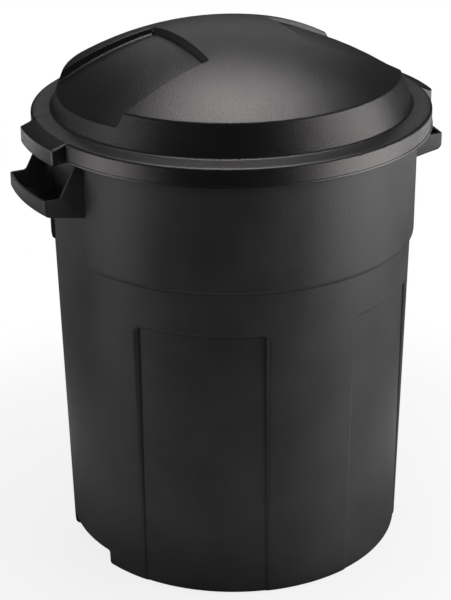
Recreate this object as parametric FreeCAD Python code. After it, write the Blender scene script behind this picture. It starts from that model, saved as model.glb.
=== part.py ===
"""Round outdoor trash can with two scoop handles and a lift-off domed lid.

Millimetres. Z is up and the can stands on z = 0. X runs through the two handles, and -Y is the front.
"""
import FreeCAD, Part
import math
import os
from FreeCAD import Vector

# Can wall
CAN_WALL = 2.6             # thickness of the moulding
FOOT_R = 208.6             # outer radius that the tapered wall would have at the ground
WALL_DRAFT = 1.36          # degrees, the wall widens upwards
RIM_Z = 560.0              # top of the can, where the lid rests
FOOT_ROUND = 8.0           # rounding where the wall turns into the foot
FOOT_WIDTH = 40.6          # width of the foot that stands on the ground, inside it the floor is raised
FLOOR_RAISE = 5.0
FLOOR_SLOPE = 8.0          # width of the slope from the foot up to the raised floor

# Upper band, which stands out from the wall and stops at the handles
BAND_DROP = 158.5          # from the rim down to where the band's lower edge runs into the wall
BAND_STEP = 4.2            # how far the band stands out there
BAND_DRAFT = 0.5           # degrees
BAND_ROUND = 6.0           # rounding of the band's lower edge

# Rim, turned out and down under the lid
RIM_OVERHANG = 12.2        # from the band's face to the rim's outer edge
RIM_LIP_DEPTH = 14.0
RIM_ROUND = 2.0

# Sunk panels in the wall, measured from the front and mirrored to both sides and to the back
PANEL_NEAR = 14.6          # degrees from the front to the panel's near edge
PANEL_FAR = 58.2           # degrees from the front to the panel's far edge
PANEL_DROP = 50.0          # from the band's lower edge down to the panel's top
PANEL_DEPTH_TOP = 6.0
PANEL_DEPTH_FOOT = 1.2
PANEL_CORNER = 11.0        # rounding of the panel's upper corners

# Toe notches in the foot below the handles
NOTCH_HALF = 57.0          # half width
NOTCH_HEIGHT = 22.0
NOTCH_DEPTH = 25.0         # from the wall's outer face at the ground to the notch's back wall
NOTCH_CORNER = 3.0

# Scoop handles
HANDLE_HALF = 57.0         # half width, also of the gap in the band
HANDLE_WALL = 3.0
HANDLE_DROP = 63.0         # from the rim down to the top of the grip lip
HANDLE_REACH = 49.6        # from the wall to the grip lip's outer face
HANDLE_LIP_HEIGHT = 20.4   # height of the grip lip's outer face
HANDLE_FALL = 10.4         # how far the underside falls from the grip lip to the wall
HANDLE_LEDGE = 19.0        # level width at the top, from the lip's outer face inwards
HANDLE_SLANT = 25.7        # further width over which the cheeks' slanting edge rises to the rim
HANDLE_ROUND = 8.0         # rounding between underside and lip
HANDLE_CORNER = 4.0        # rounding between lip and cheeks

# Lid
LID_WALL = 2.5
LID_FIT = 1.5              # gap all round between the rim and the skirt
LID_SKIRT_DEPTH = 25.0     # from the flange down to the skirt's lower edge
LID_BEAD = 1.2             # how far the bead along the skirt's lower edge stands out
LID_BEAD_HEIGHT = 3.0
LID_BEAD_ROUND = 0.8
LID_FLANGE_WIDTH = 24.0    # from the skirt's outer face to the foot of the cone wall
LID_FLANGE_ROUND = 3.5     # rounding between flange and skirt
LID_CONE_HEIGHT = 37.0
LID_CONE_INSET = 14.5      # how far the cone wall leans in over its height
LID_CONE_ROUND = 4.0       # hollow rounding at the foot of the cone wall
LID_SHOULDER_ROUND = 5.0   # rounding between cone wall and dome
LID_DOME_RISE = 54.5       # from the top of the cone wall to the dome's middle

# Finger pockets in the dome, with the grip between them
GRIP_HALF = 65.6           # half width of the grip
POCKET_HALF = 77.6         # half width of each pocket at the grip
POCKET_SPLAY = 7.4         # degrees, the pocket's sides spread apart outwards
POCKET_DEPTH = 8.0
POCKET_CORNER = 4.0

# Pull tabs of the lid, over the handles
TAB_HALF = 52.0
TAB_REACH = 15.5           # from the skirt's outer face to the tab's outer face
TAB_DROP = 9.0             # the tab's top slopes down this much to its outer face
TAB_BELOW = 2.5            # how far the tab hangs below the skirt
TAB_CORNER = 4.0           # rounding of the tab's upright corners

CLEAR = 10.0               # how far a cutting shape runs past what it cuts
AXIS = Vector(0, 0, 1)
ORIGIN = Vector(0, 0, 0)
SIDES = {"left": -1, "right": 1}


def wall_radius(z):
    """Outer radius of the tapered wall at a height."""
    return FOOT_R + z * math.tan(math.radians(WALL_DRAFT))


def band_radius(z):
    """Outer radius of the upper band at a height."""
    return wall_radius(BAND_Z) + BAND_STEP + (z - BAND_Z) * math.tan(math.radians(BAND_DRAFT))


BAND_Z = RIM_Z - BAND_DROP
RIM_R = band_radius(RIM_Z) + RIM_OVERHANG
STANDING_RING_R = FOOT_R - FOOT_WIDTH
PANEL_TOP_Z = BAND_Z - PANEL_DROP
NOTCH_FACE_X = FOOT_R - NOTCH_DEPTH
HANDLE_LIP_Z = RIM_Z - HANDLE_DROP
HANDLE_R = wall_radius(HANDLE_LIP_Z) + HANDLE_REACH
FLANGE_Z = RIM_Z + LID_WALL
SKIRT_Z = FLANGE_Z - LID_SKIRT_DEPTH
SKIRT_R = RIM_R + LID_FIT + LID_WALL
CONE_R = SKIRT_R - LID_FLANGE_WIDTH
SHOULDER_R = CONE_R - LID_CONE_INSET
SHOULDER_Z = FLANGE_Z + LID_CONE_HEIGHT
APEX_Z = SHOULDER_Z + LID_DOME_RISE
DOME_R = (SHOULDER_R ** 2 + LID_DOME_RISE ** 2) / (2 * LID_DOME_RISE)
DOME_CENTRE = Vector(0, 0, APEX_Z - DOME_R)
TAB_R = SKIRT_R + TAB_REACH


def outline(corners):
    """Closed wire in the XZ plane through (x, z, rounding) corners, with an arc at each rounded corner."""
    points = [Vector(x, 0, z) for x, z, _ in corners]
    count = len(points)
    edges = []
    starts = []
    ends = []
    for i, (_, _, rounding) in enumerate(corners):
        here = points[i]
        back = (points[i - 1] - here).normalize()
        ahead = (points[(i + 1) % count] - here).normalize()
        if rounding:
            half = back.getAngle(ahead) / 2
            reach = rounding / math.tan(half)
            inward = (back + ahead).normalize()
            middle = here + inward * (rounding / math.sin(half) - rounding)
            first = here + back * reach
            last = here + ahead * reach
            edges.append(Part.Arc(first, middle, last).toShape())
        else:
            first = here
            last = here
        starts.append(first)
        ends.append(last)
    for i in range(count):
        if (starts[(i + 1) % count] - ends[i]).Length > 1e-6:
            edges.append(Part.makeLine(ends[i], starts[(i + 1) % count]))
    return Part.Wire(Part.__sortEdges__(edges))


def turned(corners):
    """Solid of revolution about Z of an outline in the XZ plane."""
    return Part.Face(outline(corners)).revolve(ORIGIN, AXIS, 360)


def block(x0, x1, half, z0, z1):
    """Box from x0 to x1 and z0 to z1, centred on the XZ plane."""
    return Part.makeBox(x1 - x0, 2 * half, z1 - z0, Vector(x0, -half, z0))


def on_side(shape, side):
    """The shape made on the +X side, turned half round for the -X side."""
    turned_shape = shape.copy()
    if side < 0:
        turned_shape.rotate(ORIGIN, AXIS, 180)
    return turned_shape


def both_sides(shape):
    """The shape on the +X side and its twin on the -X side."""
    return [on_side(shape, side) for side in SIDES.values()]


def panel_space(skin):
    """The four sunk panels as solids to cut away, grown inwards and sideways by a skin thickness."""
    top = PANEL_TOP_Z + skin
    inner_top = wall_radius(PANEL_TOP_Z) - PANEL_DEPTH_TOP - skin
    inner_foot = wall_radius(0) - PANEL_DEPTH_FOOT - skin
    outer = wall_radius(top) + CLEAR
    widen = math.degrees(skin / wall_radius(PANEL_TOP_Z))
    span = PANEL_FAR - PANEL_NEAR + 2 * widen
    section = [(inner_foot, 0, 0), (outer, 0, 0), (outer, top, 0), (inner_top, top, 0)]
    sector = Part.Face(outline(section)).revolve(ORIGIN, AXIS, span)
    corners = []
    for edge in sector.Edges:
        ends = [vertex.Point for vertex in edge.Vertexes]
        level = all(abs(point.z - top) < 1e-3 for point in ends)
        if level and isinstance(edge.Curve, Part.Line):
            corners.append(edge)
    sector = sector.makeFillet(PANEL_CORNER + skin, corners)
    panels = []
    for quarter_start in (PANEL_NEAR, 180 - PANEL_FAR, 180 + PANEL_NEAR, 360 - PANEL_FAR):
        panel = sector.copy()
        panel.rotate(ORIGIN, AXIS, quarter_start - widen - 90)
        panels.append(panel)
    return panels


def notch_space(skin):
    """The toe notch on the +X side as a solid to cut away, grown by a skin thickness."""
    notch = block(NOTCH_FACE_X - skin, FOOT_R + CLEAR, NOTCH_HALF + skin, -CLEAR, NOTCH_HEIGHT + skin)
    corners = []
    for edge in notch.Edges:
        ends = [vertex.Point for vertex in edge.Vertexes]
        along_x = abs(ends[0].x - ends[1].x) > 1
        if along_x and ends[0].z > 0:
            corners.append(edge)
    return notch.makeFillet(NOTCH_CORNER + skin, corners)


def can_form(skin):
    """The can as a filled solid, shrunk inwards by a skin thickness."""
    wall = turned([
        (0, skin, 0),
        (wall_radius(0) - skin, skin, FOOT_ROUND - skin),
        (wall_radius(RIM_Z) - skin, RIM_Z, 0),
        (0, RIM_Z, 0),
    ])
    reach = BAND_ROUND - BAND_STEP
    drop = BAND_ROUND - math.sqrt(BAND_ROUND ** 2 - reach ** 2)
    low = BAND_Z - drop + skin
    inner = wall_radius(BAND_Z) - CLEAR
    band = turned([
        (inner, low, 0),
        (band_radius(low) - skin, low, BAND_ROUND - skin),
        (band_radius(RIM_Z) - skin, RIM_Z, 0),
        (inner, RIM_Z, 0),
    ])
    gap = block(0, RIM_R, HANDLE_HALF + skin, low - CLEAR, RIM_Z + CLEAR)
    form = wall.fuse(band.cut(both_sides(gap)))
    form = form.cut(panel_space(skin))
    return form.cut(both_sides(notch_space(skin)))


def can_rim():
    """Rim turned out from the wall and down, with a flat top for the lid."""
    under = RIM_Z - CAN_WALL
    inner = wall_radius(RIM_Z) - CAN_WALL
    return turned([
        (inner, under, 0),
        (RIM_R - CAN_WALL, under, 0),
        (RIM_R - CAN_WALL, RIM_Z - RIM_LIP_DEPTH, 0),
        (RIM_R, RIM_Z - RIM_LIP_DEPTH, 0),
        (RIM_R, RIM_Z, RIM_ROUND),
        (inner, RIM_Z, 0),
    ])


def floor_hollow(lift):
    """Raised middle of the floor as a solid, from the ground up, lifted by a thickness."""
    return turned([
        (0, lift - CLEAR, 0),
        (STANDING_RING_R, lift - CLEAR, 0),
        (STANDING_RING_R, lift, 0),
        (STANDING_RING_R - FLOOR_SLOPE, lift + FLOOR_RAISE, 0),
        (0, lift + FLOOR_RAISE, 0),
    ])


def can_body():
    """The can without its handles."""
    inner = wall_radius(RIM_Z) - CAN_WALL
    mouth = turned([
        (0, RIM_Z - CAN_WALL, 0),
        (inner, RIM_Z - CAN_WALL, 0),
        (inner, RIM_Z + CLEAR, 0),
        (0, RIM_Z + CLEAR, 0),
    ])
    outside = can_form(0).fuse(can_rim())
    inside = can_form(CAN_WALL).fuse(mouth).cut(floor_hollow(CAN_WALL))
    return outside.cut(inside).cut(floor_hollow(0)).removeSplitter()


def side_box(section, half, corner):
    """A side profile carried round the can's axis and cut off at a half width, its outer upright corners rounded."""
    inner = min(x for x, _, _ in section)
    outer = max(x for x, _, _ in section)
    swing = math.degrees(math.asin(half / (inner - CLEAR)))
    face = Part.Face(outline(section))
    face.rotate(ORIGIN, AXIS, -swing)
    ring = face.revolve(ORIGIN, AXIS, 2 * swing)
    solid = ring.common(block(0, outer + CLEAR, half, 0, APEX_Z))
    corners = []
    for edge in solid.Edges:
        ends = [vertex.Point for vertex in edge.Vertexes]
        upright = abs(ends[0].z - ends[-1].z) > 1
        if upright and all(abs(math.hypot(point.x, point.y) - outer) < 1e-3 for point in ends):
            corners.append(edge)
    return solid.makeFillet(corner, corners)


def handle(side):
    """Scoop handle: two cheeks, a floor and a grip lip, open at the top and seated on the can's wall."""
    root = wall_radius(HANDLE_LIP_Z) - CLEAR
    tip = HANDLE_LIP_Z - HANDLE_LIP_HEIGHT
    top = RIM_Z - RIM_LIP_DEPTH
    ledge = HANDLE_R - HANDLE_LEDGE
    rise = HANDLE_FALL / HANDLE_REACH
    foot = tip - rise * (HANDLE_R - root)
    lift = HANDLE_WALL * math.sqrt(1 + rise ** 2)
    inner = HANDLE_R - HANDLE_WALL
    shell = side_box([
        (root, foot, 0),
        (HANDLE_R, tip, HANDLE_ROUND),
        (HANDLE_R, HANDLE_LIP_Z, 0),
        (ledge, HANDLE_LIP_Z, 0),
        (ledge - HANDLE_SLANT, top, 0),
        (root, top, 0),
    ], HANDLE_HALF, HANDLE_CORNER)
    scoop = side_box([
        (root, foot + lift, 0),
        (inner, tip - rise * HANDLE_WALL + lift, HANDLE_ROUND - HANDLE_WALL),
        (inner, top + CLEAR, 0),
        (root, top + CLEAR, 0),
    ], HANDLE_HALF - HANDLE_WALL, HANDLE_CORNER - HANDLE_WALL)
    return on_side(shell.cut(scoop).cut(can_form(0)).removeSplitter(), side)


def dome_form(skin, sunk):
    """The lid's cone wall and dome as a filled solid, shrunk by a skin thickness, the dome sunk by a depth."""
    slope = LID_CONE_INSET / LID_CONE_HEIGHT
    shift = skin * math.sqrt(1 + slope ** 2)
    radius = DOME_R - sunk - skin
    centre_z = DOME_CENTRE.z
    # where the cone wall x = base - slope * z crosses the sphere
    base = SHOULDER_R + slope * SHOULDER_Z - shift
    a = 1 + slope ** 2
    b = -2 * (base * slope + centre_z)
    c = base ** 2 + centre_z ** 2 - radius ** 2
    shoulder_z = (-b + math.sqrt(b ** 2 - 4 * a * c)) / (2 * a)
    shoulder_x = base - slope * shoulder_z
    half_angle = math.atan2(shoulder_x, shoulder_z - centre_z) / 2
    apex = Vector(0, 0, centre_z + radius)
    middle = Vector(radius * math.sin(half_angle), 0, centre_z + radius * math.cos(half_angle))
    shoulder = Vector(shoulder_x, 0, shoulder_z)
    foot_z = FLANGE_Z - skin
    foot = Vector(base - slope * foot_z, 0, foot_z)
    low = Vector(0, 0, foot_z)
    profile = Part.Wire([
        Part.Arc(apex, middle, shoulder).toShape(),
        Part.makeLine(shoulder, foot),
        Part.makeLine(foot, low),
        Part.makeLine(low, apex),
    ])
    solid = Part.Face(profile).revolve(ORIGIN, AXIS, 360)
    return solid.makeFillet(LID_SHOULDER_ROUND - skin, ring_edges(solid, shoulder_x, shoulder_z))


def ring_edges(solid, radius, z):
    """The solid's circular edges of a radius about the axis at a height."""
    found = []
    for edge in solid.Edges:
        if edge.Degenerated or not isinstance(edge.Curve, Part.Circle):
            continue
        if abs(edge.Curve.Radius - radius) < 1e-3 and abs(edge.Curve.Center.z - z) < 1e-3:
            found.append(edge)
    return found


def pocket_space(skin):
    """The room over the finger pocket on the +X side, grown by a skin thickness."""
    near = GRIP_HALF - skin
    far = CONE_R + CLEAR
    spread = math.tan(math.radians(POCKET_SPLAY))
    grown = POCKET_HALF + skin * math.sqrt(1 + spread ** 2)
    near_half = grown + (near - GRIP_HALF) * spread
    far_half = grown + (far - GRIP_HALF) * spread
    plan = [
        Vector(near, -near_half, FLANGE_Z),
        Vector(far, -far_half, FLANGE_Z),
        Vector(far, far_half, FLANGE_Z),
        Vector(near, near_half, FLANGE_Z),
    ]
    base = Part.Face(Part.makePolygon(plan + plan[:1]))
    pocket = base.extrude(Vector(0, 0, APEX_Z + CLEAR - FLANGE_Z))
    corners = []
    for edge in pocket.Edges:
        ends = [vertex.Point for vertex in edge.Vertexes]
        upright = abs(ends[0].z - ends[1].z) > 1
        if upright and abs(ends[0].x - near) < 1e-6:
            corners.append(edge)
    return pocket.makeFillet(POCKET_CORNER + skin, corners)


def skirt_form():
    """The lid's skirt, bead and flange as a filled disc."""
    bead_r = SKIRT_R + LID_BEAD
    return turned([
        (0, SKIRT_Z, 0),
        (bead_r, SKIRT_Z, LID_BEAD_ROUND),
        (bead_r, SKIRT_Z + LID_BEAD_HEIGHT, LID_BEAD_ROUND),
        (SKIRT_R, SKIRT_Z + LID_BEAD_HEIGHT, 0),
        (SKIRT_R, FLANGE_Z, LID_FLANGE_ROUND),
        (0, FLANGE_Z, 0),
    ])


def skirt_room():
    """The room inside the lid's skirt, under the flange."""
    inner = SKIRT_R - LID_WALL
    return turned([
        (0, SKIRT_Z - CLEAR, 0),
        (inner, SKIRT_Z - CLEAR, 0),
        (inner, FLANGE_Z - LID_WALL, 0),
        (0, FLANGE_Z - LID_WALL, 0),
    ])


def tab_form(skin, low):
    """Pull tab on the +X side as a filled solid from a height up, shrunk inwards by a skin thickness."""
    outer = TAB_R - skin
    return side_box([
        (CONE_R, low, 0),
        (outer, low, 0),
        (outer, FLANGE_Z - TAB_DROP - skin, 0),
        (SKIRT_R - LID_FLANGE_ROUND, FLANGE_Z - skin, 0),
        (CONE_R, FLANGE_Z - skin, 0),
    ], TAB_HALF - skin, TAB_CORNER - skin)


def lid():
    """Domed lid: skirt, flange, cone wall, dome with finger pockets, and pull tabs."""
    domes = []
    for skin in (0, LID_WALL):
        dome = dome_form(skin, 0).cut(both_sides(pocket_space(skin)))
        domes.append(dome.fuse(dome_form(skin, POCKET_DEPTH)))
    tab_low = SKIRT_Z - TAB_BELOW
    tab_room = tab_form(LID_WALL, tab_low - CLEAR)
    outside = domes[0].fuse([skirt_form()] + both_sides(tab_form(0, tab_low)))
    outside = outside.removeSplitter()
    outside = outside.makeFillet(LID_CONE_ROUND, ring_edges(outside, CONE_R, FLANGE_Z))
    inside = domes[1].fuse([skirt_room()] + both_sides(tab_room))
    return outside.cut(inside).removeSplitter()


def save(shape, node):
    """Writes one node as a STEP file after making sure that it is one sound solid."""
    solids = shape.Solids
    assert len(solids) == 1, (node, len(solids))
    assert solids[0].isValid(), node
    solids[0].exportStep(os.path.join("parts", node + ".step"))
    box = solids[0].BoundBox
    print(f"{node}: {solids[0].Volume / 1000:.1f} cm3, x {box.XMin:.1f}..{box.XMax:.1f}, "
          f"y {box.YMin:.1f}..{box.YMax:.1f}, z {box.ZMin:.1f}..{box.ZMax:.1f}")


os.makedirs("parts", exist_ok=True)
save(can_body(), "can_body")
for side_name, side_sign in SIDES.items():
    save(handle(side_sign), side_name + "_handle")
save(lid(), "lid")
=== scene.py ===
"""Round black outdoor trash can with two scoop handles and a lift-off domed lid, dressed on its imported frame.

Sizes are in millimetres in the classes and in metres in the meshes. Z is up, X runs through the two handles
and the front looks along -Y.
"""
import logging
import math
from dataclasses import dataclass
from enum import Enum
from typing import Any, Callable, Sequence

import bmesh
import bpy
import numpy as np
from mathutils import Matrix, Vector

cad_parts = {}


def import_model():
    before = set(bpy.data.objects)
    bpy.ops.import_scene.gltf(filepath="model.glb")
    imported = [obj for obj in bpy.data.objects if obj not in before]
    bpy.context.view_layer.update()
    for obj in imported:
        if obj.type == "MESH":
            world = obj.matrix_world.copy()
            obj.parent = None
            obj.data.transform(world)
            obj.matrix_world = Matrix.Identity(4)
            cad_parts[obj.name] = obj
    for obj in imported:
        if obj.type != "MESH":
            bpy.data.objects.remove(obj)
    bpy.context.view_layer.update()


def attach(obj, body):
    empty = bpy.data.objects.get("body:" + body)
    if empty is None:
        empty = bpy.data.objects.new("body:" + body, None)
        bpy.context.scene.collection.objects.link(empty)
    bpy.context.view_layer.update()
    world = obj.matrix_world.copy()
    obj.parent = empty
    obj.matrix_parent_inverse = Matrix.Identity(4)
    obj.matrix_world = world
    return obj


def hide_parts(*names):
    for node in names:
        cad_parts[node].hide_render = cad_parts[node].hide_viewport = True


MM = 0.001
SHARP_ANGLE = math.radians(38)  # edges that turn more stay crisp
NEARLY_STRAIGHT = 0.01  # radians that a corner may turn and still count as straight
LARGEST_GROWTH = 3.0  # of one step over the one before it
HALVINGS = 80  # in the search for a growth
NOISE_MIDDLE = 0.5  # noise keeps close to it, so its spread is stretched
NOISE_STRETCH = 4
FRONT_ANGLE = -90  # degrees from +X to the can's front
LOG = logging.getLogger("trash_can")

Triple = tuple[float, float, float]
Row = tuple[float, float, float, float, float]


class Side(Enum):
    """The side of the can that a handle is on."""

    LEFT = -1
    RIGHT = 1


class Sector(Enum):
    """The part of the lid that a column of its mesh runs over."""

    RIGHT = "right"
    BACK = "back"
    LEFT = "left"
    FRONT = "front"


class Grain(Enum):
    """How the mould has textured a plastic surface."""

    SATIN = "satin"
    PEBBLED = "pebbled"


def fillet(back: np.ndarray, here: np.ndarray, ahead: np.ndarray, rounding: float,
           count: int) -> list[np.ndarray]:
    """Rounds one corner of a line.

    Args:
        back: the point before the corner.
        here: the corner.
        ahead: the point after the corner.
        rounding: radius of the arc, or half the length of the run where the line is straight.
        count: number of points.

    Returns:
        The points from the arc's start to its end.
    """
    to_back = (back - here) / np.linalg.norm(back - here)
    to_ahead = (ahead - here) / np.linalg.norm(ahead - here)
    half = math.acos(float(np.clip(to_back @ to_ahead, -1, 1))) / 2
    sweep = math.pi - 2 * half
    steps = np.linspace(0, 1, count)
    if sweep < NEARLY_STRAIGHT:
        return [here + rounding * (to_back * (1 - t) + to_ahead * t) for t in steps]
    inward = (to_back + to_ahead) / np.linalg.norm(to_back + to_ahead)
    centre = here + inward * rounding / math.sin(half)
    start = here + to_back * rounding / math.tan(half) - centre
    end = here + to_ahead * rounding / math.tan(half) - centre
    weights = [(math.sin((1 - t) * sweep), math.sin(t * sweep)) for t in steps]
    return [centre + (start * first + end * last) / math.sin(sweep) for first, last in weights]


def rounded_line(corners: Sequence[Triple], count: int) -> np.ndarray:
    """Open line through corners, each inner corner rounded.

    Args:
        corners: (radius, height, rounding) of each corner, the two ends with any rounding.
        count: points for each inner corner.

    Returns:
        Array of (radius, height) points.
    """
    spots = [np.array(corner[:2], dtype=float) for corner in corners]
    points = [spots[0]]
    for i in range(1, len(spots) - 1):
        points += fillet(spots[i - 1], spots[i], spots[i + 1], corners[i][2], count)
    return np.array([*points, spots[-1]])


def growing_steps(total: float, first: float, count: int) -> np.ndarray:
    """Distances from 0 to a total whose steps grow evenly.

    Args:
        total: the last distance.
        first: length of the first step.
        count: number of steps.

    Returns:
        Array of count + 1 distances.
    """
    low, high = 1.0 + 1e-9, LARGEST_GROWTH
    for _ in range(HALVINGS):
        ratio = (low + high) / 2
        if first * (ratio ** count - 1) / (ratio - 1) < total:
            low = ratio
        else:
            high = ratio
    steps = first * low ** np.arange(count)
    return np.concatenate([[0], np.cumsum(steps)]) * total / steps.sum()


def smooth_step(value: np.ndarray, low: float, high: float) -> np.ndarray:
    """Smooth rise from 0 at low to 1 at high."""
    t = np.clip((value - low) / (high - low), 0, 1)
    return t * t * (3 - 2 * t)


def grid_faces(rows: int, columns: int, wrap_rows: bool, wrap_columns: bool) -> list[tuple[int, ...]]:
    """Quads of a grid of points that are numbered row by row.

    Args:
        rows: number of rows.
        columns: number of columns.
        wrap_rows: whether the last row joins the first.
        wrap_columns: whether the last column joins the first.

    Returns:
        The corner numbers of each quad.
    """
    faces = []
    for i in range(rows if wrap_rows else rows - 1):
        low = i * columns
        high = (i + 1) % rows * columns
        for j in range(columns if wrap_columns else columns - 1):
            k = (j + 1) % columns
            faces.append((low + j, high + j, high + k, low + k))
    return faces


def closed_mesh(name: str, points: np.ndarray, faces: Sequence[tuple[int, ...]]) -> bpy.types.Mesh:
    """Mesh of a closed shell with its faces turned outwards.

    Args:
        name: name of the mesh.
        points: (n, 3) array in millimetres.
        faces: corner numbers of each face.

    Returns:
        The mesh, in metres.
    """
    shell = bmesh.new()
    corners = [shell.verts.new(point) for point in (points * MM).tolist()]
    for face in faces:
        shell.faces.new([corners[i] for i in face])
    bmesh.ops.recalc_face_normals(shell, faces=shell.faces)
    mesh = bpy.data.meshes.new(name)
    shell.to_mesh(mesh)
    shell.free()
    return mesh


def in_scene(name: str, data: bpy.types.ID) -> bpy.types.Object:
    """Puts an object in the scene.

    Args:
        name: its name.
        data: its mesh, lamp or camera.

    Returns:
        The object, at the origin.
    """
    added = bpy.data.objects.new(name, data)
    bpy.context.scene.collection.objects.link(added)
    return added


def placed(name: str, mesh: bpy.types.Mesh, finish: bpy.types.Material) -> bpy.types.Object:
    """Puts a finished mesh in the scene with smooth faces and crisp edges.

    Args:
        name: name of the piece.
        mesh: its mesh.
        finish: its material.

    Returns:
        The object, at the origin.
    """
    mesh.shade_smooth()
    mesh.set_sharp_from_angle(angle=SHARP_ANGLE)
    mesh.materials.clear()
    mesh.materials.append(finish)
    return in_scene(name, mesh)


def add_node(tree: bpy.types.NodeTree, kind: str, inputs: dict[str | int, Any] | None = None,
             **settings: str) -> bpy.types.Node:
    """Adds a node to a tree.

    Args:
        tree: the tree.
        kind: the node's type.
        inputs: for each input, by name or number, its value or the field or socket that feeds it.
        settings: the node's own settings.

    Returns:
        The node.
    """
    node = tree.nodes.new(kind)
    for name, value in settings.items():
        setattr(node, name, value)
    for key, value in (inputs or {}).items():
        source = value.socket if isinstance(value, Field) else value
        if isinstance(source, bpy.types.NodeSocket):
            tree.links.new(source, node.inputs[key])
        else:
            node.inputs[key].default_value = source
    return node


def math_node(operation: str) -> Callable[..., "Field"]:
    """Makes a method that puts a field and other values into one math node.

    Args:
        operation: the node's operation.

    Returns:
        The method.
    """
    def method(field: "Field", *others: "Field | float") -> "Field":
        """The node's result."""
        inputs = dict(enumerate((field, *others)))
        return Field(add_node(field.tree, "ShaderNodeMath", inputs, operation=operation).outputs[0])
    return method


class Field:
    """A value in a node tree that takes part in sums, so that a rule reads as a formula."""

    def __init__(self, socket: bpy.types.NodeSocket) -> None:
        """Wraps an output socket."""
        self.socket = socket
        self.tree = socket.id_data

    __add__ = math_node("ADD")
    __sub__ = math_node("SUBTRACT")
    __mul__ = math_node("MULTIPLY")
    __truediv__ = math_node("DIVIDE")
    least = math_node("MINIMUM")
    most = math_node("MAXIMUM")
    smooth_most = math_node("SMOOTH_MAX")
    absolute = math_node("ABSOLUTE")
    root = math_node("SQRT")
    sine = math_node("SINE")
    cosine = math_node("COSINE")
    arcsine = math_node("ARCSINE")

    def root_of_squares(self, other: "Field") -> "Field":
        """Length of the long side of a right triangle with these two short sides."""
        return (self * self + other * other).root()

    def ramp(self, low: "Field | float", high: "Field | float") -> "Field":
        """Smooth rise from 0 to 1.

        Args:
            low: where the rise starts.
            high: where it ends.

        Returns:
            How much of the rise this value has gone.
        """
        inputs = {"Value": self, "From Min": low, "From Max": high}
        node = add_node(self.tree, "ShaderNodeMapRange", inputs, interpolation_type="SMOOTHSTEP")
        return Field(node.outputs["Result"])

    def inside_corner(self, across: "Field", along: "Field") -> "Field":
        """How far inside a corner with this rounding a place lies, given its distances from both edges."""
        return self - (self - across).most(0.0).root_of_squares((self - along).most(0.0))


@dataclass(frozen=True)
class BlackPlastic:
    """Black polyethylene as it comes out of the mould."""

    name: str
    tint: Triple
    roughness: float
    grain: Grain
    grain_size: float
    grain_depth: float
    shine: float
    gloss: Triple = (1.0, 1.0, 1.0)
    roughness_spread: float = 0.05
    cloud_size: float = 70.0
    cloud_stops: tuple[float, float] = (0.3, 0.7)
    speck_ratio: float = 2.5
    speck_share: float = 0.4
    pebble_softness: float = 0.6
    wave_size: float = 45.0
    wave_depth: float = 0.06
    tint_spread: float = 0.22

    def noise(self, tree: bpy.types.NodeTree, size: float, detail: float) -> bpy.types.NodeSocket:
        """Soft noise on Object coordinates.

        Args:
            tree: the material's nodes.
            size: size of one speck in millimetres.
            detail: how many finer layers it has.

        Returns:
            The noise's value.
        """
        place = add_node(tree, "ShaderNodeTexCoord").outputs["Object"]
        inputs = {"Vector": place, "Scale": 1 / (size * MM), "Detail": detail}
        return add_node(tree, "ShaderNodeTexNoise", inputs).outputs["Fac"]

    def pebbles(self, tree: bpy.types.NodeTree) -> bpy.types.NodeSocket:
        """Small round bumps that touch each other, as an etched mould leaves them.

        Args:
            tree: the material's nodes.

        Returns:
            The bumps' height.
        """
        place = add_node(tree, "ShaderNodeTexCoord").outputs["Object"]
        inputs = {"Vector": place, "Scale": 1 / (self.grain_size * MM), "Smoothness": self.pebble_softness}
        node = add_node(tree, "ShaderNodeTexVoronoi", inputs, feature="SMOOTH_F1")
        return Field(node.outputs["Distance"]).cosine().socket

    def material(self) -> bpy.types.Material:
        """The finish as a material.

        Returns:
            The material, with clouded colour and gloss, faint waves and the mould's grain.
        """
        finish = bpy.data.materials.new(self.name)
        finish.use_nodes = True
        tree = finish.node_tree
        shader = next(node for node in tree.nodes if node.type == "BSDF_PRINCIPLED")
        cloud = self.noise(tree, self.cloud_size, detail=3.0)
        speck = self.noise(tree, self.grain_size * self.speck_ratio, detail=2.0)

        blend = add_node(tree, "ShaderNodeValToRGB", {"Fac": cloud})
        for stop, place, sign in zip(blend.color_ramp.elements, self.cloud_stops, (-1, 1)):
            stop.color = (*(channel * (1 + sign * self.tint_spread) for channel in self.tint), 1.0)
            stop.position = place
        tree.links.new(blend.outputs["Color"], shader.inputs["Base Color"])

        mottle = Field(cloud) * (1 - self.speck_share) + Field(speck) * self.speck_share
        rough = (mottle - NOISE_MIDDLE) * (NOISE_STRETCH * self.roughness_spread) + self.roughness
        tree.links.new(rough.socket, shader.inputs["Roughness"])
        shader.inputs["Specular IOR Level"].default_value = self.shine
        shader.inputs["Specular Tint"].default_value = (*self.gloss, 1.0)

        waves = self.noise(tree, self.wave_size, detail=1.0)
        pebbled = self.grain is Grain.PEBBLED
        relief = self.pebbles(tree) if pebbled else self.noise(tree, self.grain_size, detail=2.0)
        inputs = {"Strength": 1.0, "Distance": self.wave_depth * MM, "Height": waves}
        wavy = add_node(tree, "ShaderNodeBump", inputs).outputs["Normal"]
        inputs = {"Strength": 1.0, "Distance": self.grain_depth * MM, "Height": relief, "Normal": wavy}
        grainy = add_node(tree, "ShaderNodeBump", inputs).outputs["Normal"]
        tree.links.new(grainy, shader.inputs["Normal"])
        return finish


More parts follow.
